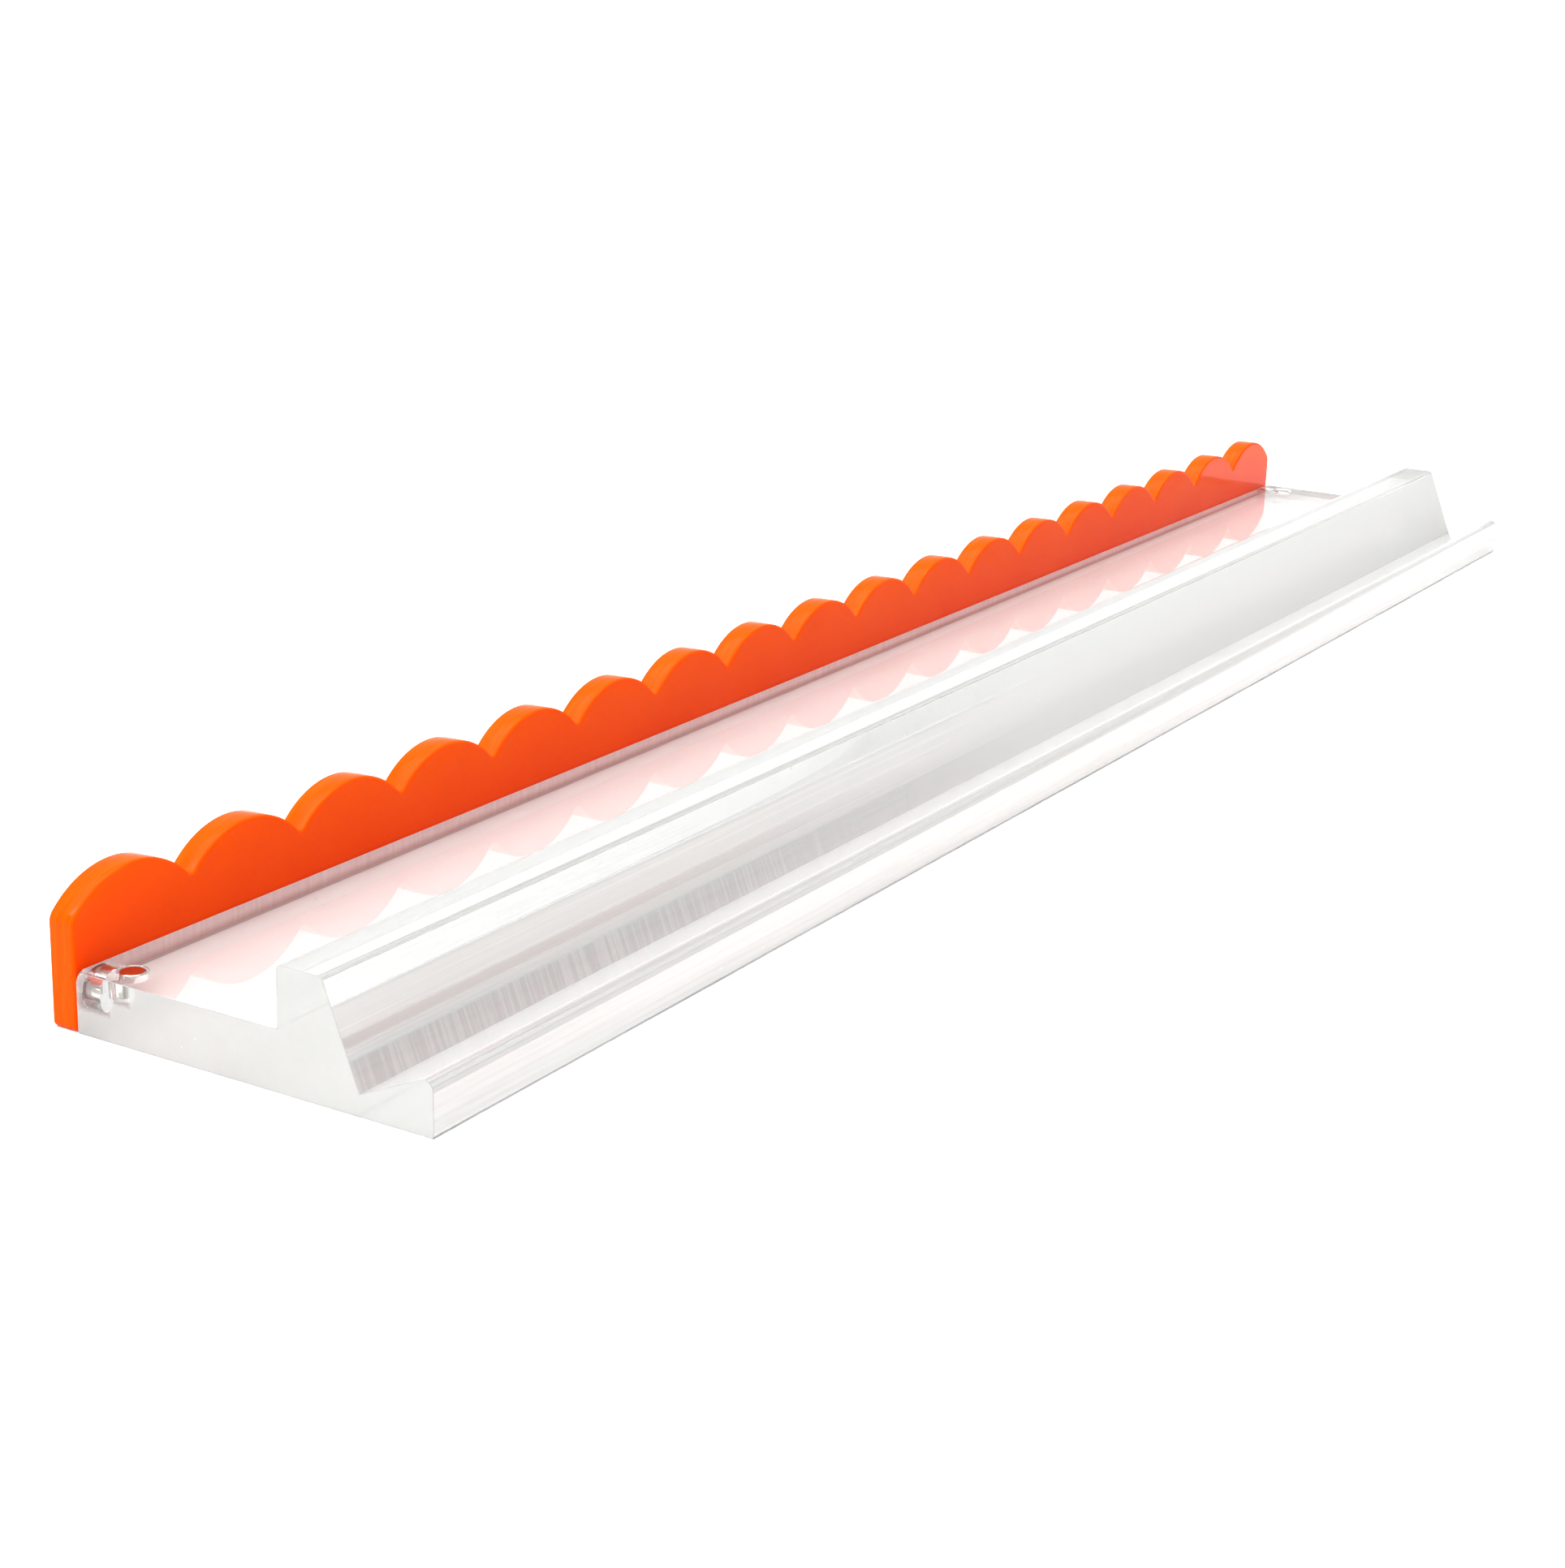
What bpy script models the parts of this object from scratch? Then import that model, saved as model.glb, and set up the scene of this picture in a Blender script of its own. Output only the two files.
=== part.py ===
"""Clear acrylic tile rack with a scalloped pusher bar held behind it by magnets.

The rack is one length of machined acrylic: a flat deck at the back, a ridge whose leaning
front face carries a row of tiles, and a rising ledge with a lip that stops them.  The pusher
is a straight bar with a scalloped top edge.  It stands against the rack's back face, where a
magnet near each of its ends meets one in the rack.  Two more magnets in the deck hold the
pusher when it is laid flat for storage.

X runs along the rack, -Y is the players' side with the leaning face, +Z is up.  The origin is
the middle of the footprint of rack and pusher together, on the table.
"""
import math

import bmesh
import bpy
from mathutils import Matrix, Vector

# ---------------------------------------------------------------- driving dimensions (metres)
MM = 0.001
GAP = 0.3 * MM                  # clearance kept between pieces that touch or nest

SCALLOP_PITCH = 25.4 * MM       # one inch from valley to valley
SCALLOP_COUNT = 18
LENGTH = SCALLOP_PITCH * SCALLOP_COUNT

RACK_DEPTH = 65.0 * MM
DECK_HEIGHT = 9.55 * MM         # top of the flat part behind the ridge
RIDGE_HEIGHT = 19.2 * MM
RIDGE_BACK = 37.9 * MM          # distances in front of the rack's back face
RIDGE_FRONT = 45.9 * MM
GROOVE_DISTANCE = 52.3 * MM     # bottom of the tile groove
GROOVE_HEIGHT = 3.4 * MM
LIP_HEIGHT = 9.2 * MM
LIP_ROUND = 1.6 * MM
RIDGE_ROUND = 0.9 * MM
EDGE_ROUND = 0.4 * MM           # what polishing leaves on the other long edges

PUSHER_THICKNESS = 4.76 * MM    # 3/16 inch sheet
PUSHER_PEAK = 22.9 * MM
SCALLOP_RADIUS = 16.8 * MM
VALLEY_ROUND = 1.0 * MM
PUSHER_END_ROUND = 2.5 * MM     # where the end scallops turn down into the ends
PUSHER_FOOT_ROUND = 0.8 * MM
PUSHER_EDGE_ROUND = 0.5 * MM

MAGNET_LENGTH = 3.2 * MM
MAGNET_CHAMFER = 0.2 * MM
MAGNET_FROM_END = 5.1 * MM
DECK_MAGNET_RADIUS = 2.0 * MM
DECK_MAGNET_FROM_BACK = 6.35 * MM
BACK_MAGNET_RADIUS = 2.5 * MM   # in the rack's back face, and in the pusher opposite it
BACK_MAGNET_HEIGHT = 6.0 * MM

CORNER_STEPS = 4                # facets on a rounded corner of an outline
SCALLOP_STEPS = 12              # facets on one scallop
ROUND_SIDES = 32                # facets round a magnet and its bore

# ---------------------------------------------------------------- derived places
RACK_BACK_Y = (RACK_DEPTH - GAP - PUSHER_THICKNESS) / 2
PUSHER_FRONT_Y = RACK_BACK_Y + GAP
MAGNET_X = LENGTH / 2 - MAGNET_FROM_END
SIDES = (("left", -1), ("right", 1))

# ---------------------------------------------------------------- material colours
ACRYLIC_CLEAR = (0.90, 0.92, 0.91)
ACRYLIC_ORANGE = (0.95, 0.15, 0.02)
NICKEL = (0.72, 0.71, 0.69)


def clear_scene():
    for obj in list(bpy.data.objects):
        bpy.data.objects.remove(obj, do_unlink=True)


def make_collection(name):
    collection = bpy.data.collections.new(name)
    bpy.context.scene.collection.children.link(collection)
    return collection


def make_material(name, colour, roughness, metallic=0.0, transmission=0.0):
    material = bpy.data.materials.new(name)
    material.use_nodes = True
    shader = material.node_tree.nodes["Principled BSDF"]
    shader.inputs["Base Color"].default_value = (*colour, 1.0)
    shader.inputs["Roughness"].default_value = roughness
    shader.inputs["Metallic"].default_value = metallic
    shader.inputs["Transmission Weight"].default_value = transmission
    return material


def arc(centre, radius, first, last, steps):
    """Points on a circle from angle first to angle last, both ends included."""
    angles = [first + (last - first) * step / steps for step in range(steps + 1)]
    return [Vector((centre[0] + radius * math.cos(a), centre[1] + radius * math.sin(a))) for a in angles]


def rounded_corner(before, corner, after, radius):
    """The arc that is tangent to both sides of a corner."""
    to_before = (before - corner).normalized()
    to_after = (after - corner).normalized()
    half = to_before.angle(to_after) / 2
    centre = corner + (to_before + to_after).normalized() * radius / math.sin(half)
    start = corner + to_before * radius / math.tan(half) - centre
    end = corner + to_after * radius / math.tan(half) - centre
    first = math.atan2(start.y, start.x)
    turn = math.atan2(end.y, end.x) - first
    turn = (turn + math.pi) % (2 * math.pi) - math.pi
    return arc(centre, radius, first, first + turn, CORNER_STEPS)


def rounded_outline(corners):
    """A closed outline through corners given as (x, y, radius)."""
    points = []
    for index, (x, y, radius) in enumerate(corners):
        corner = Vector((x, y))
        if radius == 0:
            points.append(corner)
            continue
        before = Vector(corners[index - 1][:2])
        after = Vector(corners[(index + 1) % len(corners)][:2])
        points += rounded_corner(before, corner, after, radius)
    return points


def extruded_outline(name, points, thickness, matrix, collection):
    """A flat outline in its local XY plane, extruded both ways along its local Z, as a mesh."""
    curve = bpy.data.curves.new(name + "_outline", "CURVE")
    curve.dimensions = "2D"
    curve.fill_mode = "BOTH"
    curve.extrude = thickness / 2
    spline = curve.splines.new("POLY")
    spline.points.add(len(points) - 1)
    for spline_point, point in zip(spline.points, points):
        spline_point.co = (point[0], point[1], 0, 1)
    spline.use_cyclic_u = True
    outline = bpy.data.objects.new(name + "_outline", curve)
    collection.objects.link(outline)
    outline.matrix_world = matrix
    bpy.context.view_layer.update()
    evaluated = outline.evaluated_get(bpy.context.evaluated_depsgraph_get())
    mesh = bpy.data.meshes.new_from_object(evaluated)
    mesh.name = name
    weld_and_face_outwards(mesh)
    obj = bpy.data.objects.new(name, mesh)
    collection.objects.link(obj)
    obj.matrix_world = outline.matrix_world
    bpy.data.objects.remove(outline)
    return obj


def weld_and_face_outwards(mesh):
    work = bmesh.new()
    work.from_mesh(mesh)
    bmesh.ops.remove_doubles(work, verts=work.verts, dist=0.01 * MM)
    bmesh.ops.recalc_face_normals(work, faces=work.faces)
    work.to_mesh(mesh)
    work.free()


def cylinder(name, radius, depth, centre, direction, collection, chamfer=0.0):
    """A cylinder centred on a point, its axis along direction."""
    mesh = bpy.data.meshes.new(name)
    work = bmesh.new()
    bmesh.ops.create_cone(
        work, cap_ends=True, segments=ROUND_SIDES, radius1=radius, radius2=radius, depth=depth)
    work.to_mesh(mesh)
    work.free()
    obj = bpy.data.objects.new(name, mesh)
    collection.objects.link(obj)
    turn = Vector((0, 0, 1)).rotation_difference(Vector(direction))
    obj.matrix_world = Matrix.Translation(centre) @ turn.to_matrix().to_4x4()
    if chamfer:
        bevel = obj.modifiers.new("chamfered_rims", "BEVEL")
        bevel.width = chamfer
        bevel.segments = 1
        bevel.limit_method = "ANGLE"
        bevel.angle_limit = math.radians(60)
    return obj


def blind_bore(target, magnet_radius, mouth, inward, cutters):
    """Cut the hole for one magnet: its mouth is on the surface, inward points into the material."""
    depth = MAGNET_LENGTH + GAP
    overshoot = 1 * MM
    direction = Vector(inward)
    centre = Vector(mouth) + direction * (depth - overshoot) / 2
    name = f"{target.name}_bore_{len(target.modifiers)}"
    cutter = cylinder(name, magnet_radius + GAP, depth + overshoot, centre, inward, cutters)
    cutter.hide_render = True
    cutter.display_type = "WIRE"
    cut = target.modifiers.new(name, "BOOLEAN")
    cut.operation = "DIFFERENCE"
    cut.solver = "EXACT"
    cut.object = cutter


def magnet(name, radius, mouth, inward, material, collection):
    """A nickel-plated disc magnet whose outer face is flush with the surface at mouth."""
    centre = Vector(mouth) + Vector(inward) * MAGNET_LENGTH / 2
    obj = cylinder(name, radius, MAGNET_LENGTH, centre, inward, collection, MAGNET_CHAMFER)
    finish(obj, material)
    return obj


def finish(obj, material):
    obj.data.materials.clear()
    obj.data.materials.append(material)
    obj.data.shade_smooth()
    obj.data.set_sharp_from_angle(angle=math.radians(30))


# ---------------------------------------------------------------- outlines
def rack_profile():
    """The rack's cross-section as (Y, Z), with Y measured from its back face."""
    return rounded_outline([
        (0, 0, EDGE_ROUND),
        (-RACK_DEPTH, 0, EDGE_ROUND),
        (-RACK_DEPTH, LIP_HEIGHT, LIP_ROUND),
        (-GROOVE_DISTANCE, GROOVE_HEIGHT, 0),
        (-RIDGE_FRONT, RIDGE_HEIGHT, RIDGE_ROUND),
        (-RIDGE_BACK, RIDGE_HEIGHT, RIDGE_ROUND),
        (-RIDGE_BACK, DECK_HEIGHT, EDGE_ROUND),
        (0, DECK_HEIGHT, 0),
    ])


def pusher_profile():
    """The pusher's outline as (X, Z): scallops along the top, rounded valleys between them."""
    scallop_z = PUSHER_PEAK - SCALLOP_RADIUS
    half_pitch = SCALLOP_PITCH / 2
    # A valley's circle touches the two scallop circles on either side of it from outside.
    valley_rise = math.sqrt((SCALLOP_RADIUS + VALLEY_ROUND) ** 2 - half_pitch ** 2)
    valley_angle = math.atan2(valley_rise, half_pitch)
    # An end's circle touches the end scallop from inside, and the end face.
    end_reach = half_pitch - PUSHER_END_ROUND
    end_rise = math.sqrt((SCALLOP_RADIUS - PUSHER_END_ROUND) ** 2 - end_reach ** 2)
    end_angle = math.atan2(end_rise, end_reach)

    points = arc((-LENGTH / 2 + PUSHER_FOOT_ROUND, PUSHER_FOOT_ROUND), PUSHER_FOOT_ROUND,
                 1.5 * math.pi, math.pi, CORNER_STEPS)
    points += arc((-LENGTH / 2 + PUSHER_END_ROUND, scallop_z + end_rise), PUSHER_END_ROUND,
                  math.pi, math.pi - end_angle, CORNER_STEPS)
    for index in range(SCALLOP_COUNT):
        centre_x = -LENGTH / 2 + (index + 0.5) * SCALLOP_PITCH
        last_scallop = index == SCALLOP_COUNT - 1
        first = math.pi - (end_angle if index == 0 else valley_angle)
        last = end_angle if last_scallop else valley_angle
        points += arc((centre_x, scallop_z), SCALLOP_RADIUS, first, last, SCALLOP_STEPS)[1:-1]
        if not last_scallop:
            points += arc((centre_x + half_pitch, scallop_z + valley_rise), VALLEY_ROUND,
                          math.pi + valley_angle, 2 * math.pi - valley_angle, CORNER_STEPS)
    points += arc((LENGTH / 2 - PUSHER_END_ROUND, scallop_z + end_rise), PUSHER_END_ROUND,
                  end_angle, 0, CORNER_STEPS)
    points += arc((LENGTH / 2 - PUSHER_FOOT_ROUND, PUSHER_FOOT_ROUND), PUSHER_FOOT_ROUND,
                  0, -0.5 * math.pi, CORNER_STEPS)
    return points


# ---------------------------------------------------------------- the pieces
def build_rack(parts, cutters):
    """The clear body, with a bore near each end in the deck and another in the back face."""
    # Local X, Y, Z of the profile become world Y, Z, X.
    upright = Matrix.Translation((0, RACK_BACK_Y, 0)) @ Matrix(((0, 0, 1), (1, 0, 0), (0, 1, 0))).to_4x4()
    rack = extruded_outline("rack_body", rack_profile(), LENGTH, upright, parts)
    finish(rack, make_material("clear_acrylic", ACRYLIC_CLEAR, 0.05, transmission=1.0))
    nickel = make_material("nickel_plate", NICKEL, 0.15, metallic=1.0)
    for side, sign in SIDES:
        deck_mouth = (sign * MAGNET_X, RACK_BACK_Y - DECK_MAGNET_FROM_BACK, DECK_HEIGHT)
        blind_bore(rack, DECK_MAGNET_RADIUS, deck_mouth, (0, 0, -1), cutters)
        magnet(f"deck_magnet_{side}", DECK_MAGNET_RADIUS, deck_mouth, (0, 0, -1), nickel, parts)
        back_mouth = (sign * MAGNET_X, RACK_BACK_Y, BACK_MAGNET_HEIGHT)
        blind_bore(rack, BACK_MAGNET_RADIUS, back_mouth, (0, -1, 0), cutters)
        magnet(f"back_magnet_{side}", BACK_MAGNET_RADIUS, back_mouth, (0, -1, 0), nickel, parts)


def build_pusher(parts, cutters):
    """The scalloped bar and its two magnets, all carried by an empty that slides along +Y."""
    slide = bpy.data.objects.new("pusher_slide", None)
    parts.objects.link(slide)
    slide.location = (0, PUSHER_FRONT_Y, 0)
    bpy.context.view_layer.update()

    # Local X, Y, Z of the outline become world X, Z, -Y.
    middle_y = PUSHER_FRONT_Y + PUSHER_THICKNESS / 2
    upright = Matrix.Translation((0, middle_y, 0)) @ Matrix.Rotation(math.radians(90), 4, "X")
    bar = extruded_outline("pusher_bar", pusher_profile(), PUSHER_THICKNESS, upright, parts)
    bevel = bar.modifiers.new("softened_edges", "BEVEL")
    bevel.width = PUSHER_EDGE_ROUND
    bevel.segments = 2
    bevel.limit_method = "ANGLE"
    bevel.angle_limit = math.radians(60)
    finish(bar, make_material("orange_acrylic", ACRYLIC_ORANGE, 0.15))

    nickel = make_material("pusher_nickel_plate", NICKEL, 0.15, metallic=1.0)
    pieces = [bar]
    for side, sign in SIDES:
        mouth = (sign * MAGNET_X, PUSHER_FRONT_Y, BACK_MAGNET_HEIGHT)
        blind_bore(bar, BACK_MAGNET_RADIUS, mouth, (0, 1, 0), cutters)
        pieces.append(magnet(f"pusher_magnet_{side}", BACK_MAGNET_RADIUS, mouth, (0, 1, 0), nickel, parts))
    for piece in pieces:
        placed = piece.matrix_world.copy()
        piece.parent = slide
        piece.matrix_parent_inverse = slide.matrix_world.inverted()
        piece.matrix_world = placed


def main():
    clear_scene()
    parts = make_collection("tile_rack_with_pusher")
    cutters = make_collection("cutters")
    build_rack(parts, cutters)
    build_pusher(parts, cutters)


main()
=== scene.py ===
"""Looks of the clear tile rack and its scalloped orange pusher bar."""
import math

import bmesh
import bpy
from mathutils import Matrix, Vector


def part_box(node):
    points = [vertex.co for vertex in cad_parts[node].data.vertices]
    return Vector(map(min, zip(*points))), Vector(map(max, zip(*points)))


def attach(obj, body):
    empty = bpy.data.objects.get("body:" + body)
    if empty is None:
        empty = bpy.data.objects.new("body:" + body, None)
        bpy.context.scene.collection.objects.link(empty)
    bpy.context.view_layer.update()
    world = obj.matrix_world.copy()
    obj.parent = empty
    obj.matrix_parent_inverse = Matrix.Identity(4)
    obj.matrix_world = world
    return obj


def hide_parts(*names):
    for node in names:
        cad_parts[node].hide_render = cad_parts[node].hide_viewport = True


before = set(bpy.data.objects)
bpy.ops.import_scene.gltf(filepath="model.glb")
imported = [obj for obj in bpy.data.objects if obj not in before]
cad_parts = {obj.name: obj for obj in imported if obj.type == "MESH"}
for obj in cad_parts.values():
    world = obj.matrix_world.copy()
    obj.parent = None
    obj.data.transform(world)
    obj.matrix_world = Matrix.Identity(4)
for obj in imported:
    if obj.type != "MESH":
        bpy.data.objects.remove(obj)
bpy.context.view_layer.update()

MM = 0.001
RACK_LOW, RACK_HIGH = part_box("rack_body")
PUSHER_LOW, PUSHER_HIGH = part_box("pusher_bar")
SIDES = ("left", "right")

# ---------------------------------------------------------------- rack section, as in the CAD
RACK_LENGTH = RACK_HIGH.x - RACK_LOW.x
RACK_DEPTH = RACK_HIGH.y - RACK_LOW.y
RIDGE_HEIGHT = RACK_HIGH.z
DECK_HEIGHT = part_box("deck_magnet_left")[1].z
RIDGE_BACK = 37.9 * MM
RIDGE_FRONT = 45.9 * MM
GROOVE_DISTANCE = 52.3 * MM
GROOVE_HEIGHT = 3.4 * MM
LIP_HEIGHT = 9.2 * MM
LIP_ROUND = 1.6 * MM
RIDGE_ROUND = 0.9 * MM
EDGE_ROUND = 0.4 * MM
RACK_BEVEL = 0.2 * MM
CORNER_EASE = 2.0 * MM
GAP = 0.3 * MM

# ---------------------------------------------------------------- pusher outline, as in the CAD
PUSHER_PEAK = PUSHER_HIGH.z
SCALLOP_COUNT = 18
SCALLOP_PITCH = RACK_LENGTH / SCALLOP_COUNT
SCALLOP_RADIUS = 16.8 * MM
VALLEY_ROUND = 1.0 * MM
PUSHER_END_ROUND = 2.5 * MM
PUSHER_FOOT_ROUND = 0.8 * MM
PUSHER_BEVEL = 0.5 * MM

MAGNET_LENGTH = 3.2 * MM
MAGNET_RIM = 0.25 * MM
MAGNET_SIDES = 64
BORE_CHAMFER = 0.15 * MM

# Fineness of the round stretches, and the edge angle in degrees from which an edge is bevelled.
CORNER_STEPS = 6
SCALLOP_STEPS = 28
VALLEY_STEPS = 8
BEVEL_FROM = 60


# ---------------------------------------------------------------- mesh helpers
def arc(centre, radius, first, last, steps):
    angles = [first + (last - first) * step / steps for step in range(steps + 1)]
    return [Vector((centre[0] + radius * math.cos(a), centre[1] + radius * math.sin(a))) for a in angles]


def rounded_outline(corners, steps):
    """A closed outline through corners given as (x, y, radius)."""
    points = []
    for index, (x, y, radius) in enumerate(corners):
        corner = Vector((x, y))
        if radius == 0:
            points.append(corner)
            continue
        to_before = (Vector(corners[index - 1][:2]) - corner).normalized()
        to_after = (Vector(corners[(index + 1) % len(corners)][:2]) - corner).normalized()
        half = to_before.angle(to_after) / 2
        centre = corner + (to_before + to_after).normalized() * radius / math.sin(half)
        start = corner + to_before * radius / math.tan(half) - centre
        end = corner + to_after * radius / math.tan(half) - centre
        first = math.atan2(start.y, start.x)
        turn = (math.atan2(end.y, end.x) - first + math.pi) % (2 * math.pi) - math.pi
        points += arc(centre, radius, first, first + turn, steps)
    return points


def new_object(name, work):
    mesh = bpy.data.meshes.new(name)
    work.to_mesh(mesh)
    work.free()
    obj = bpy.data.objects.new(name, mesh)
    bpy.context.scene.collection.objects.link(obj)
    return obj


def prism(name, points, low, high):
    """A closed solid: each outline point is a function of its distance along the extrusion."""
    work = bmesh.new()
    rings = []
    for place in (low, high):
        rings.append([work.verts.new(point(place)) for point in points])
    count = len(points)
    for index in range(count):
        after = (index + 1) % count
        work.faces.new((rings[0][index], rings[0][after], rings[1][after], rings[1][index]))
    work.faces.new(list(reversed(rings[0])))
    work.faces.new(rings[1])
    bmesh.ops.recalc_face_normals(work, faces=work.faces)
    return new_object(name, work)


def lathe(name, profile, place, direction):
    """A closed turned solid. The profile is (radius, distance along direction), from axis to axis."""
    work = bmesh.new()
    rings = []
    for radius, distance in profile:
        if radius == 0:
            rings.append([work.verts.new((0, 0, distance))])
            continue
        rings.append([
            work.verts.new((radius * math.cos(a), radius * math.sin(a), distance))
            for a in (2 * math.pi * side / MAGNET_SIDES for side in range(MAGNET_SIDES))])
    for one, two in zip(rings, rings[1:]):
        for side in range(MAGNET_SIDES):
            after = (side + 1) % MAGNET_SIDES
            corners = [one[side % len(one)], one[after % len(one)],
                       two[after % len(two)], two[side % len(two)]]
            work.faces.new(list(dict.fromkeys(corners)))
    bmesh.ops.recalc_face_normals(work, faces=work.faces)
    turn = Vector((0, 0, 1)).rotation_difference(Vector(direction)).to_matrix().to_4x4()
    bmesh.ops.transform(work, matrix=Matrix.Translation(place) @ turn, verts=work.verts)
    return new_object(name, work)


def apply_modifiers(obj):
    evaluated = obj.evaluated_get(bpy.context.evaluated_depsgraph_get())
    mesh = bpy.data.meshes.new_from_object(evaluated)
    obj.modifiers.clear()
    obj.data = mesh


def bevel(obj, width, segments, degrees):
    modifier = obj.modifiers.new("soft_edges", "BEVEL")
    modifier.width = width
    modifier.segments = segments
    modifier.limit_method = "ANGLE"
    modifier.angle_limit = math.radians(degrees)
    modifier.harden_normals = False


def smooth(obj, degrees=40):
    obj.data.shade_smooth()
    obj.data.set_sharp_from_angle(angle=math.radians(degrees))


def keep_flat(obj, normals):
    """The machined planes keep their true normals, so that nothing seen in or through them wobbles."""
    for face in obj.data.polygons:
        if any(face.normal.dot(normal) > 0.99999 for normal in normals):
            face.use_smooth = False


def cut(obj, cutter):
    modifier = obj.modifiers.new("cut", "BOOLEAN")
    modifier.operation = "DIFFERENCE"
    modifier.solver = "EXACT"
    modifier.object = cutter
    apply_modifiers(obj)
    bpy.data.objects.remove(cutter)


# ---------------------------------------------------------------- materials
HAZE_DENSITY = 16.0
# Pale grey in which the haze glows by itself: painted light.
HAZE_GLOW_COLOUR = (0.81, 0.81, 0.795)
ACRYLIC_TINT = (0.985, 0.99, 0.985)
ACRYLIC_IOR = 1.49

# The leaning face: where the chatter marks and the painted shade of its foot end, the painted bands of light
# as (low, high, strength), and how far along X they run together.
CHATTER_AND_SHADE_TOP = (7.4 * MM, 8.0 * MM)
PAINTED_LIGHT_BANDS = ((10.8 * MM, 15.2 * MM, 0.46), (7.7 * MM, 9.4 * MM, 0.36))
PAINTED_BANDS_MERGE_REACH = (-170 * MM, 0.0)

# Clear windows in the satin ends, over the back and the deck magnet: centre and half size as (Y, Z).
CLEAR_WINDOWS = (
    ((RACK_HIGH.y - 3.0 * MM, 7.4 * MM), (3.2 * MM, 3.3 * MM)),
    ((RACK_HIGH.y - 7.8 * MM, 8.4 * MM), (2.4 * MM, 2.0 * MM)),
)


def principled(name, colour, roughness, **sockets):
    material = bpy.data.materials.new(name)
    material.use_nodes = True
    shader = material.node_tree.nodes["Principled BSDF"]
    shader.inputs["Base Color"].default_value = (*colour, 1.0)
    shader.inputs["Roughness"].default_value = roughness
    for socket, value in sockets.items():
        shader.inputs[socket.replace("_", " ")].default_value = value
    return material, shader


def position(tree):
    return tree.nodes.new("ShaderNodeNewGeometry").outputs["Position"]


def position_axes(tree):
    split = tree.nodes.new("ShaderNodeSeparateXYZ")
    tree.links.new(position(tree), split.inputs["Vector"])
    return split.outputs


def map_range(tree, value, low, high, start, end):
    """value from low..high to start..end, with a smooth step."""
    node = tree.nodes.new("ShaderNodeMapRange")
    node.interpolation_type = "SMOOTHSTEP"
    for socket, number in (("From Min", low), ("From Max", high), ("To Min", start), ("To Max", end)):
        node.inputs[socket].default_value = number
    tree.links.new(value, node.inputs["Value"])
    return node.outputs["Result"]


def noise(tree, per_metre, detail=3.0, rough=0.55):
    """Noise in world space; per_metre is its frequency along X, Y and Z."""
    stretch = tree.nodes.new("ShaderNodeVectorMath")
    stretch.operation = "MULTIPLY"
    tree.links.new(position(tree), stretch.inputs[0])
    stretch.inputs[1].default_value = per_metre
    texture = tree.nodes.new("ShaderNodeTexNoise")
    texture.inputs["Scale"].default_value = 1.0
    texture.inputs["Detail"].default_value = detail
    texture.inputs["Roughness"].default_value = rough
    tree.links.new(stretch.outputs["Vector"], texture.inputs["Vector"])
    return texture.outputs["Fac"]


def math_node(tree, operation, one, two):
    node = tree.nodes.new("ShaderNodeMath")
    node.operation = operation
    for socket, value in zip(node.inputs, (one, two)):
        if isinstance(value, (int, float)):
            socket.default_value = value
        else:
            tree.links.new(value, socket)
    return node.outputs["Value"]


def blend_colour(tree, factor, low, high, target):
    mix = tree.nodes.new("ShaderNodeMix")
    mix.data_type = "RGBA"
    mix.inputs["A"].default_value = (*low, 1)
    mix.inputs["B"].default_value = (*high, 1)
    tree.links.new(factor, mix.inputs["Factor"])
    tree.links.new(mix.outputs["Result"], target)


def add_glowing_haze(material):
    """Clear cast acrylic turns a soft grey where it is looked through for more than a few centimetres: the
    grey is painted light, a pale glow given off inside the acrylic.
    """
    tree = material.node_tree
    loss = tree.nodes.new("ShaderNodeVolumeAbsorption")
    loss.inputs["Color"].default_value = (0, 0, 0, 1)
    loss.inputs["Density"].default_value = HAZE_DENSITY
    # painted light: the acrylic glows by itself in a pale grey, as strongly as the haze is dense
    glow = tree.nodes.new("ShaderNodeEmission")
    glow.inputs["Color"].default_value = (*HAZE_GLOW_COLOUR, 1)
    glow.inputs["Strength"].default_value = HAZE_DENSITY
    both = tree.nodes.new("ShaderNodeAddShader")
    tree.links.new(loss.outputs["Volume"], both.inputs[0])
    tree.links.new(glow.outputs["Emission"], both.inputs[1])
    tree.links.new(both.outputs["Shader"], tree.nodes["Material Output"].inputs["Volume"])


def mix_shaders(tree, factor, one, two):
    mix = tree.nodes.new("ShaderNodeMixShader")
    tree.links.new(factor, mix.inputs["Fac"])
    tree.links.new(one, mix.inputs[1])
    tree.links.new(two, mix.inputs[2])
    return mix.outputs["Shader"]


def diffuse(tree, colour=(0.8, 0.8, 0.8)):
    shader = tree.nodes.new("ShaderNodeBsdfDiffuse")
    shader.inputs["Color"].default_value = (*colour, 1)
    return shader


def only_on(tree, faces, factor):
    """Keep a factor on one group of the rack's faces, see mark_faces."""
    group = tree.nodes.new("ShaderNodeAttribute")
    group.attribute_name = faces
    return math_node(tree, "MULTIPLY", group.outputs["Fac"], factor)


# Each finish returns how much of it shows, and its shader.
def dust(tree):
    specks = map_range(tree, noise(tree, (900, 900, 900), 2.0), 0.74, 0.80, 0.0, 0.35)
    return specks, diffuse(tree, (0.60, 0.58, 0.56)).outputs["BSDF"]


def band(tree, value, low, high):
    """1 between low and high, 0 outside them, with a soft border."""
    border = 0.3 * MM
    return math_node(tree, "MULTIPLY", map_range(tree, value, low - border, low + border, 0.0, 1.0),
                     map_range(tree, value, high - border, high + border, 1.0, 0.0))


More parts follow.
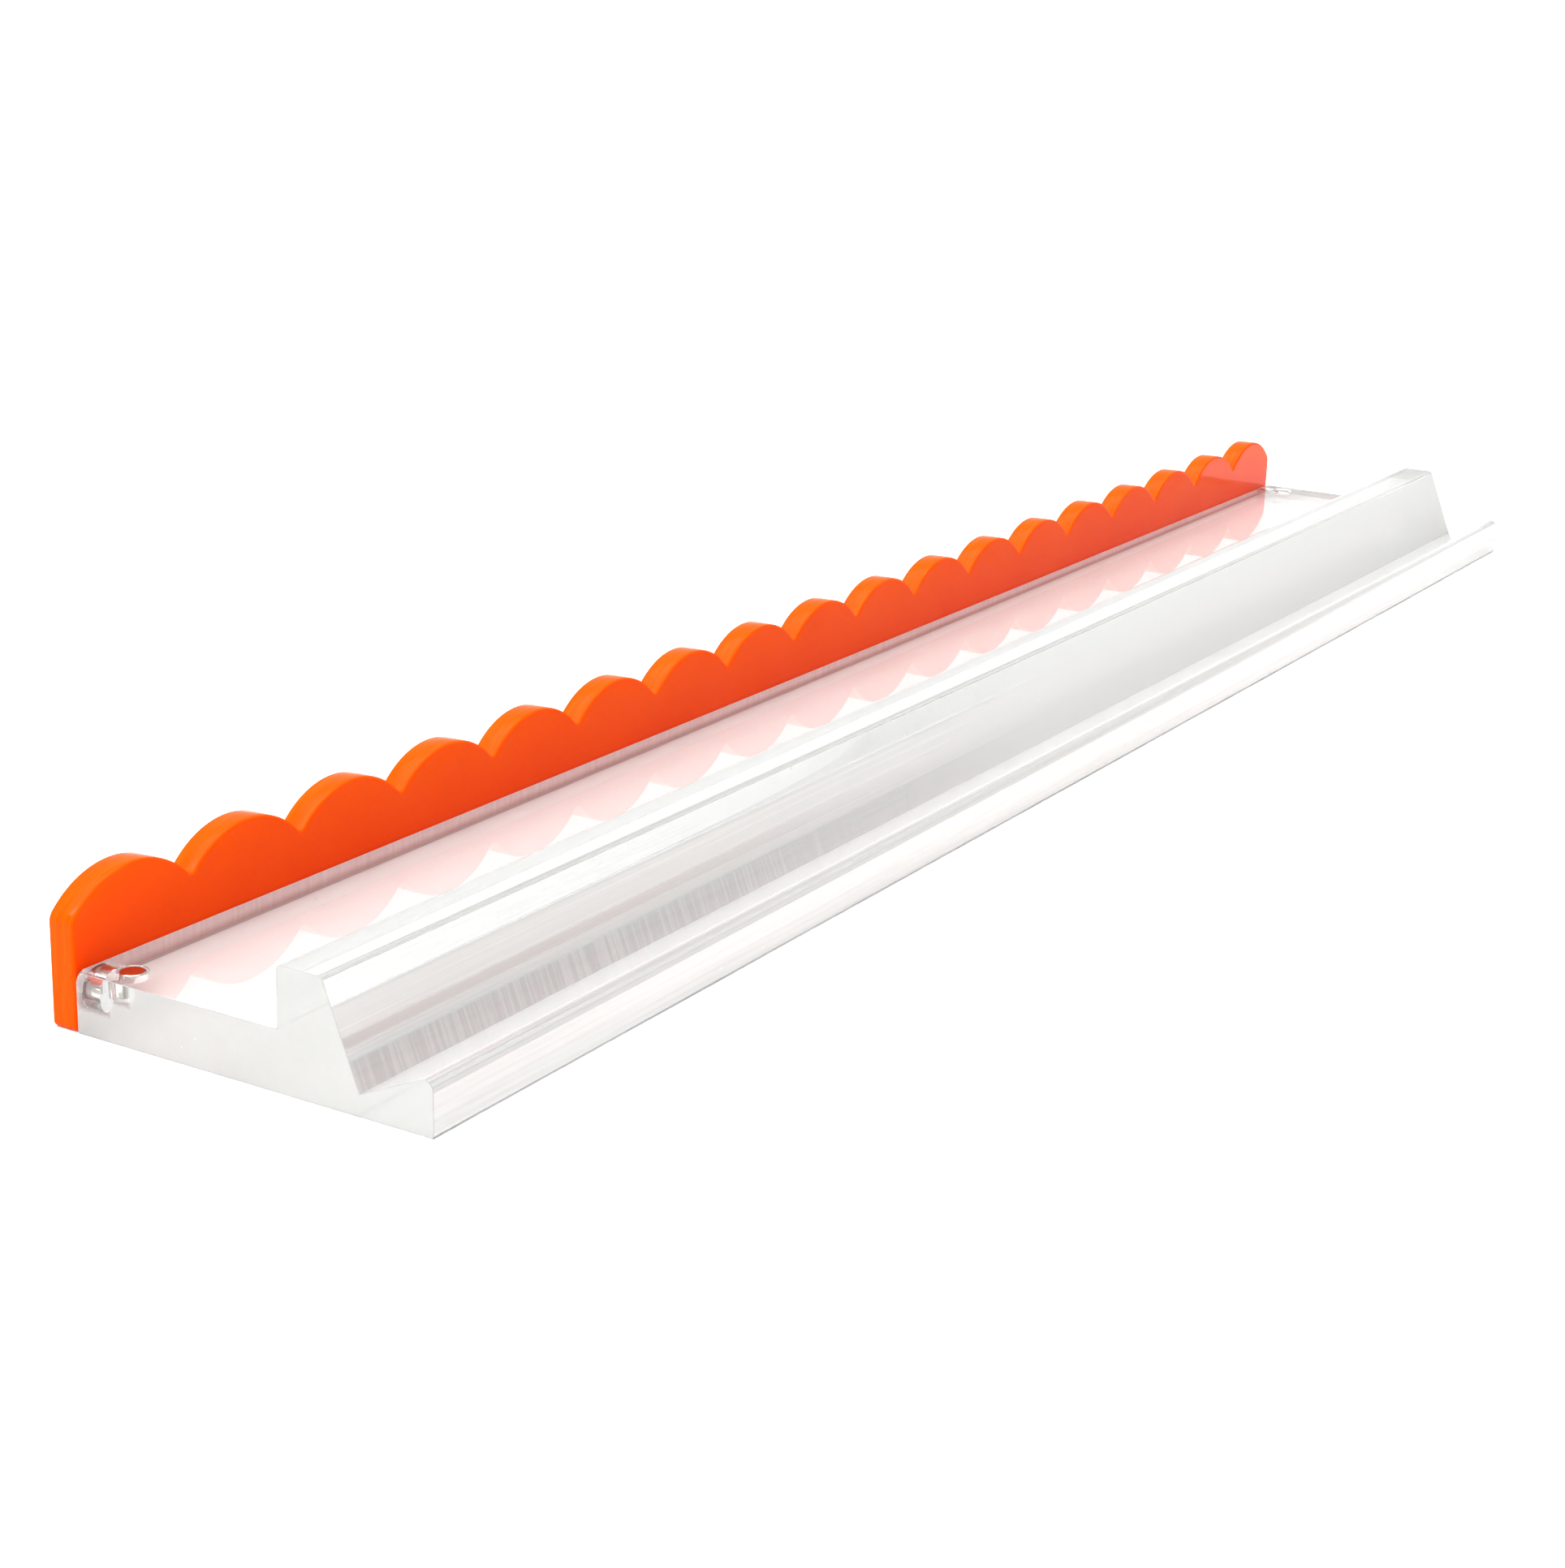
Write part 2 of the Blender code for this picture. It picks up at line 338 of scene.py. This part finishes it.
def milled_face_with_painted_bands(tree):
    """The face the tiles lean on: chatter marks of the cutter at its foot, which is painted darker as shade,
    scratches above, and painted bands of light at fixed heights above them.

    The painted bands run together into one even bloom towards the right end.
    """
    axes = position_axes(tree)
    even = map_range(tree, axes["X"], *PAINTED_BANDS_MERGE_REACH, 0.0, 1.0)
    above_foot = map_range(tree, axes["Z"], *CHATTER_AND_SHADE_TOP, 0.0, 1.0)
    foot = math_node(tree, "SUBTRACT", 1.0, above_foot)
    marks = map_range(tree, noise(tree, (9, 1100, 1100), 3.0), 0.45, 0.75, 0.0, 0.12)
    # painted light: whiter bands at fixed heights, for the bright bands seen through the glass
    for low, high, painted_band_light in PAINTED_LIGHT_BANDS:
        milky = math_node(tree, "MULTIPLY", band(tree, axes["Z"], low, high), painted_band_light)
        marks = math_node(tree, "ADD", marks, milky)
    # painted shade: the foot below the chatter marks is mixed with a dark grey
    marks = math_node(tree, "ADD", math_node(tree, "MULTIPLY", above_foot, marks),
                      math_node(tree, "MULTIPLY", foot, 0.34))
    # the painted bands run together into one bloom towards the right end
    marks = math_node(tree, "MAXIMUM", marks, math_node(tree, "MULTIPLY", even, 0.62))
    chatter = map_range(tree, noise(tree, (1300, 30, 30), 3.0), 0.40, 0.64, 0.0, 0.6)
    brightness = math_node(tree, "MAXIMUM", math_node(tree, "MAXIMUM", above_foot, even), chatter)
    light = diffuse(tree)
    # painted shade: dark grey at the foot, paler above it and where the painted bands run together
    blend_colour(tree, brightness, (0.34, 0.34, 0.34), (0.65, 0.65, 0.64), light.inputs["Color"])
    return only_on(tree, "leaning_face", marks), light.outputs["BSDF"]


def polished_front(tree):
    """The front face, flame polished but still a little milky."""
    bloom = map_range(tree, noise(tree, (12, 12, 600), 2.0), 0.3, 0.7, 0.30, 0.42)
    return only_on(tree, "front_face", bloom), diffuse(tree, (0.80, 0.80, 0.79)).outputs["BSDF"]


def sawn_back_with_painted_shade(tree):
    """The back face, sawn and lightly sanded: what stands behind it shows only as a tint. Towards its foot
    it is painted a dark brownish pink: painted shade and a painted reflection of the orange pusher, which
    stay when the pusher is pulled away.
    """
    height = position_axes(tree)["Z"]
    rise = map_range(tree, height, 0.0, 6 * MM, 0.0, 1.0)
    light = diffuse(tree)
    # painted shade and painted reflection of the orange pusher: dark brownish pink at the foot, pale from 6
    # mm up
    blend_colour(tree, rise, (0.26, 0.17, 0.15), (0.93, 0.92, 0.91), light.inputs["Color"])
    through = tree.nodes.new("ShaderNodeBsdfTranslucent")
    # what shows through is tinted the same painted brownish pink at the foot
    blend_colour(tree, rise, (0.55, 0.38, 0.34), (0.95, 0.94, 0.93), through.inputs["Color"])
    share = map_range(tree, height, 0.0, 9 * MM, 0.62, 0.30)
    both = mix_shaders(tree, share, light.outputs["BSDF"], through.outputs["BSDF"])
    saw_marks = map_range(tree, noise(tree, (900, 1, 20), 3.0), 0.35, 0.65, 0.70, 0.80)
    return only_on(tree, "back_face", saw_marks), both


def painted_dark_edges(tree):
    """The long edges and the edges of the ends, broken round and painted a dull dark grey: painted shade for
    the dark lines that the glass shows along its edges.
    """
    marks = map_range(tree, noise(tree, (60, 300, 300), 2.0), 0.3, 0.7, 0.72, 0.90)
    # painted shade: a dark grey on the edges, with faint marks
    return only_on(tree, "painted_dark_edges", marks), diffuse(tree, (0.36, 0.36, 0.36)).outputs["BSDF"]


def outside_window(tree, centre, half):
    """0 inside a rectangle of an end face, given by its centre and half size as (Y, Z), 1 outside it."""
    axes = position_axes(tree)
    reach = []
    for axis, middle, half_side in zip("YZ", centre, half):
        distance = math_node(tree, "ABSOLUTE", math_node(tree, "SUBTRACT", axes[axis], middle), 0.0)
        reach.append(math_node(tree, "SUBTRACT", distance, half_side))
    return map_range(tree, math_node(tree, "MAXIMUM", *reach), -0.5 * MM, 0.5 * MM, 0.0, 1.0)


def satin_ends(tree):
    """The ends, sawn and only lightly polished, left clear where the magnets sit behind them."""
    outside = math_node(tree, "MINIMUM", *(outside_window(tree, *window) for window in CLEAR_WINDOWS))
    marks = map_range(tree, noise(tree, (200, 200, 200), 3.0), 0.2, 0.8, 0.59, 0.63)
    bloom = diffuse(tree, (0.505, 0.505, 0.49))
    return only_on(tree, "end_faces", math_node(tree, "MULTIPLY", outside, marks)), bloom.outputs["BSDF"]


def make_clear_acrylic():
    """One material for the whole body, so that the haze inside it is closed, with a finish for each face."""
    material, shader = principled("clear_acrylic", ACRYLIC_TINT, 0.02,
                                  Transmission_Weight=1.0, IOR=ACRYLIC_IOR)
    add_glowing_haze(material)
    tree = material.node_tree
    surface = shader.outputs["BSDF"]
    for finish in (dust, milled_face_with_painted_bands, polished_front, sawn_back_with_painted_shade, satin_ends, painted_dark_edges):
        factor, bloom = finish(tree)
        surface = mix_shaders(tree, factor, surface, bloom)
    tree.links.new(surface, tree.nodes["Material Output"].inputs["Surface"])
    return material


def make_orange_acrylic():
    """The faces of the orange sheet, painted a darker red towards the foot and yellower towards the top:
    painted shade of the light from above.
    """
    material, shader = principled("orange_acrylic", (1.0, 0.06, 0.0), 0.08,
                                  IOR=ACRYLIC_IOR, Specular_IOR_Level=0.06)
    tree = material.node_tree
    height = map_range(tree, position_axes(tree)["Z"], 4 * MM, 23 * MM, 0.0, 0.9)
    cloud = map_range(tree, noise(tree, (35, 35, 35)), 0.3, 0.7, -0.1, 0.1)
    # painted shade: darker red at the foot to yellower orange at the top, with a random cloud of tone
    blend_colour(tree, math_node(tree, "ADD", height, cloud), (0.93, 0.045, 0.0), (1.0, 0.084, 0.001),
                 shader.inputs["Base Color"])
    return material


def make_orange_edge():
    """The cut edges of the orange sheet: painted yellower than its faces, as painted light for the brighter
    light the edges catch, with fine streaks from the cutter.
    """
    material, shader = principled("orange_cut_edge", (1.0, 0.08, 0.0), 0.1,
                                  IOR=ACRYLIC_IOR, Specular_IOR_Level=0.03)
    tree = material.node_tree
    streaks = map_range(tree, noise(tree, (90, 1500, 90), 3.0), 0.45, 0.75, 0.0, 1.0)
    # painted light: a yellower orange than the faces, streaked by the cutter
    blend_colour(tree, streaks, (1.0, 0.068, 0.0), (1.0, 0.092, 0.002), shader.inputs["Base Color"])
    tree.links.new(map_range(tree, noise(tree, (60, 900, 60), 2.0), 0.3, 0.7, 0.07, 0.16),
                   shader.inputs["Roughness"])
    return material


def make_nickel():
    """Bright plate with a fine turned grain."""
    material, shader = principled("nickel", (0.58, 0.55, 0.51), 0.15, Metallic=1.0)
    tree = material.node_tree
    grain = noise(tree, (3000, 3000, 3000), 3.0)
    tree.links.new(map_range(tree, grain, 0.3, 0.7, 0.10, 0.24), shader.inputs["Roughness"])
    blend_colour(tree, noise(tree, (900, 900, 900)), (0.52, 0.49, 0.46), (0.60, 0.57, 0.53),
                 shader.inputs["Base Color"])
    return material


clear_acrylic = make_clear_acrylic()
orange_acrylic = make_orange_acrylic()
orange_edge = make_orange_edge()
nickel = make_nickel()


# ---------------------------------------------------------------- pieces
AXES = [Vector(sign * (axis == i) for i in range(3)) for axis in range(3) for sign in (-1, 1)]
LEANING_NORMAL = Vector((0, GROOVE_HEIGHT - RIDGE_HEIGHT, GROOVE_DISTANCE - RIDGE_FRONT)).normalized()
LEDGE_NORMAL = Vector((0, LIP_HEIGHT - GROOVE_HEIGHT, RACK_DEPTH - GROOVE_DISTANCE)).normalized()


def magnet_place(node, direction):
    """Radius of a disc magnet and the middle of its outer face."""
    low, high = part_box(node)
    return (high.x - low.x) / 2, (low + high) / 2 - Vector(direction) * MAGNET_LENGTH / 2


def bore_cutter(node, direction):
    magnet_radius, mouth = magnet_place(node, direction)
    depth = MAGNET_LENGTH + GAP
    radius = magnet_radius + GAP
    wide = radius + BORE_CHAMFER
    profile = [(0, -1 * MM), (wide, -1 * MM), (wide, 0), (radius, BORE_CHAMFER), (radius, depth), (0, depth)]
    return lathe("bore", profile, mouth, direction)


def ease_back_corners(rack):
    """The two corners where deck, back face and end meet are rubbed round."""
    work = bmesh.new()
    work.from_mesh(rack.data)
    corners = [vert for vert in work.verts
               if vert.co.y > RACK_HIGH.y - 0.01 * MM and abs(vert.co.z - DECK_HEIGHT) < 0.01 * MM]
    bmesh.ops.bevel(work, geom=corners, offset=CORNER_EASE, offset_type="OFFSET", segments=6, profile=0.5,
                    affect="VERTICES")
    work.to_mesh(rack.data)
    work.free()


def on_painted_dark_edge(face):
    """Is a face part of a bevel at an end, or of a broken edge along the foot or the deck?"""
    if max(abs(value) for value in face.normal) > 0.9999:
        return False
    at_end = abs(face.normal.x) > 0.05 and abs(face.center.x) > RACK_HIGH.x - RACK_BEVEL
    behind = face.center.y - RACK_HIGH.y
    long_edges = ((0, 0), (0, DECK_HEIGHT), (-RIDGE_BACK, DECK_HEIGHT), (-RACK_DEPTH, 0))
    along = any(math.hypot(behind - y, face.center.z - z) < EDGE_ROUND for y, z in long_edges)
    return at_end or along


def mark_faces(rack):
    """Name the groups of faces that have a finish of their own, as face attributes for the shader."""
    groups = {
        "painted_dark_edges": on_painted_dark_edge,
        "end_faces": lambda face: abs(face.normal.x) > 0.99999,
        "back_face": lambda face: (face.center.y > RACK_HIGH.y - EDGE_ROUND and face.normal.y > 0.1
                                   and face.normal.z < 0.01),
        "leaning_face": lambda face: face.normal.dot(LEANING_NORMAL) > 0.9999,
        "front_face": lambda face: face.normal.y < -0.9999 and face.center.y < RACK_LOW.y + 0.01 * MM,
    }
    for name, belongs in groups.items():
        marked = [float(belongs(face)) for face in rack.data.polygons]
        rack.data.attributes.new(name, "FLOAT", "FACE").data.foreach_set("value", marked)


def build_rack():
    corners = [
        (0, 0, EDGE_ROUND),
        (-RACK_DEPTH, 0, EDGE_ROUND),
        (-RACK_DEPTH, LIP_HEIGHT, LIP_ROUND),
        (-GROOVE_DISTANCE, GROOVE_HEIGHT, 0),
        (-RIDGE_FRONT, RIDGE_HEIGHT, RIDGE_ROUND),
        (-RIDGE_BACK, RIDGE_HEIGHT, RIDGE_ROUND),
        (-RIDGE_BACK, DECK_HEIGHT, EDGE_ROUND),
        (0, DECK_HEIGHT, 0),
    ]
    outline = rounded_outline(corners, CORNER_STEPS)
    points = [lambda x, p=p: (x, RACK_HIGH.y + p[0], p[1]) for p in outline]
    rack = prism("rack", points, RACK_LOW.x, RACK_HIGH.x)
    ease_back_corners(rack)
    bevel(rack, RACK_BEVEL, 2, BEVEL_FROM)
    apply_modifiers(rack)
    for side in SIDES:
        cut(rack, bore_cutter(f"deck_magnet_{side}", (0, 0, -1)))
        cut(rack, bore_cutter(f"back_magnet_{side}", (0, -1, 0)))
    smooth(rack)
    keep_flat(rack, AXES + [LEANING_NORMAL, LEDGE_NORMAL])
    rack.data.materials.clear()
    rack.data.materials.append(clear_acrylic)
    mark_faces(rack)
    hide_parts("rack_body")
    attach(rack, "rack")
    return rack


def pusher_outline(scallop_steps, corner_steps):
    scallop_z = PUSHER_PEAK - SCALLOP_RADIUS
    half_pitch = SCALLOP_PITCH / 2
    valley_rise = math.sqrt((SCALLOP_RADIUS + VALLEY_ROUND) ** 2 - half_pitch ** 2)
    valley_angle = math.atan2(valley_rise, half_pitch)
    end_reach = half_pitch - PUSHER_END_ROUND
    end_rise = math.sqrt((SCALLOP_RADIUS - PUSHER_END_ROUND) ** 2 - end_reach ** 2)
    end_angle = math.atan2(end_rise, end_reach)
    left, right = PUSHER_LOW.x, PUSHER_HIGH.x
    points = arc((left + PUSHER_FOOT_ROUND, PUSHER_FOOT_ROUND), PUSHER_FOOT_ROUND,
                 1.5 * math.pi, math.pi, corner_steps)
    points += arc((left + PUSHER_END_ROUND, scallop_z + end_rise), PUSHER_END_ROUND,
                  math.pi, math.pi - end_angle, corner_steps)
    for index in range(SCALLOP_COUNT):
        centre_x = left + (index + 0.5) * SCALLOP_PITCH
        last_scallop = index == SCALLOP_COUNT - 1
        first = math.pi - (end_angle if index == 0 else valley_angle)
        last = end_angle if last_scallop else valley_angle
        points += arc((centre_x, scallop_z), SCALLOP_RADIUS, first, last, scallop_steps)[1:-1]
        if not last_scallop:
            points += arc((centre_x + half_pitch, scallop_z + valley_rise), VALLEY_ROUND,
                          math.pi + valley_angle, 2 * math.pi - valley_angle, corner_steps)
    points += arc((right - PUSHER_END_ROUND, scallop_z + end_rise), PUSHER_END_ROUND,
                  end_angle, 0, corner_steps)
    points += arc((right - PUSHER_FOOT_ROUND, PUSHER_FOOT_ROUND), PUSHER_FOOT_ROUND,
                  0, -0.5 * math.pi, corner_steps)
    return points


def build_pusher():
    outline = pusher_outline(SCALLOP_STEPS, VALLEY_STEPS)
    points = [lambda y, p=p: (p[0], y, p[1]) for p in outline]
    pusher = prism("pusher", points, PUSHER_LOW.y, PUSHER_HIGH.y)
    bevel(pusher, PUSHER_BEVEL, 4, BEVEL_FROM)
    apply_modifiers(pusher)
    for side in SIDES:
        cut(pusher, bore_cutter(f"pusher_magnet_{side}", (0, 1, 0)))
    smooth(pusher)
    keep_flat(pusher, AXES)
    pusher.data.materials.clear()
    pusher.data.materials.append(orange_acrylic)
    pusher.data.materials.append(orange_edge)
    for face in pusher.data.polygons:
        face.material_index = int(abs(face.normal.y) < 0.999)
    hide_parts("pusher_bar")
    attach(pusher, "pusher")
    return pusher


def build_magnet(node, direction, body):
    radius, mouth = magnet_place(node, direction)
    inner = radius - MAGNET_RIM
    profile = [(0, 0), (inner, 0)]
    profile += arc((inner, MAGNET_RIM), MAGNET_RIM, -math.pi / 2, 0, 5)[1:]
    profile += arc((inner, MAGNET_LENGTH - MAGNET_RIM), MAGNET_RIM, 0, math.pi / 2, 5)
    profile += [(0, MAGNET_LENGTH)]
    piece = lathe(node.replace("magnet", "disc"), profile, mouth, direction)
    smooth(piece, 50)
    piece.data.materials.append(nickel)
    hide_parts(node)
    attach(piece, body)


# ---------------------------------------------------------------- stage
FLOOR_SIZE = 6.0
FLOOR_DROP = 0.05 * MM
HORIZON_LEVEL = 1.08
SKY_LEVEL = 0.86
# Height of a direction on the sky, from 0 to 1, where it starts and ends to dim.
HORIZON_BAND = (0.10, 0.45)
# Soft lamps painted on the sky: direction, inner and outer radius in degrees, level.
LAMPS = (
    ((-0.05, 0.12, 0.98), 22, 38, 5.0),
    ((-0.40, 0.49, 0.78), 3.5, 6.5, 42.0),
)
LENS = 65.87
CAMERA_PLACE = (-0.5107, -0.2544, 0.1622)
# The camera's azimuth from +Y towards +X, its slope downwards and its roll.
CAMERA_DEGREES = (59.44, 17.31, 1.81)
LIGHT_BOUNCES = 24


def build_floor():
    bpy.ops.mesh.primitive_plane_add(size=FLOOR_SIZE, location=(0, 0, -FLOOR_DROP))
    floor = bpy.context.object
    floor.name = "floor"
    material, shader = principled("floor_paper", (0.9, 0.9, 0.9), 0.8)
    floor.data.materials.append(material)


def build_light():
    """A white horizon under a dimmer sky, a large soft lamp overhead and a small one behind to the left."""
    world = bpy.data.worlds.new("studio")
    bpy.context.scene.world = world
    world.use_nodes = True
    tree = world.node_tree
    background = tree.nodes["Background"]
    background.inputs["Color"].default_value = (1, 1, 1, 1)
    direction = tree.nodes.new("ShaderNodeTexCoord").outputs["Generated"]
    split = tree.nodes.new("ShaderNodeSeparateXYZ")
    tree.links.new(direction, split.inputs["Vector"])
    level = map_range(tree, split.outputs["Z"], *HORIZON_BAND, HORIZON_LEVEL, SKY_LEVEL)
    for aim, inner, outer, strength in LAMPS:
        towards = tree.nodes.new("ShaderNodeVectorMath")
        towards.operation = "DOT_PRODUCT"
        tree.links.new(direction, towards.inputs[0])
        towards.inputs[1].default_value = Vector(aim).normalized()
        lamp = map_range(tree, towards.outputs["Value"], math.cos(math.radians(outer)),
                         math.cos(math.radians(inner)), 0.0, strength)
        level = math_node(tree, "ADD", level, lamp)
    tree.links.new(level, background.inputs["Strength"])


def build_camera():
    data = bpy.data.cameras.new("camera")
    data.lens = LENS
    camera = bpy.data.objects.new("camera", data)
    bpy.context.scene.collection.objects.link(camera)
    azimuth, elevation, roll = (math.radians(angle) for angle in CAMERA_DEGREES)
    camera.matrix_world = (
        Matrix.Translation(CAMERA_PLACE)
        @ Matrix.Rotation(-azimuth, 4, "Z")
        @ Matrix.Rotation(math.pi / 2 - elevation, 4, "X")
        @ Matrix.Rotation(roll, 4, "Z"))
    bpy.context.scene.camera = camera


build_rack()
build_pusher()
for side in SIDES:
    build_magnet(f"deck_magnet_{side}", (0, 0, -1), "rack")
    build_magnet(f"back_magnet_{side}", (0, -1, 0), "rack")
    build_magnet(f"pusher_magnet_{side}", (0, 1, 0), "pusher")
build_floor()
build_light()
build_camera()
scene = bpy.context.scene
scene.view_settings.view_transform = "Standard"
scene.cycles.max_bounces = LIGHT_BOUNCES
scene.cycles.glossy_bounces = LIGHT_BOUNCES
scene.cycles.transmission_bounces = LIGHT_BOUNCES
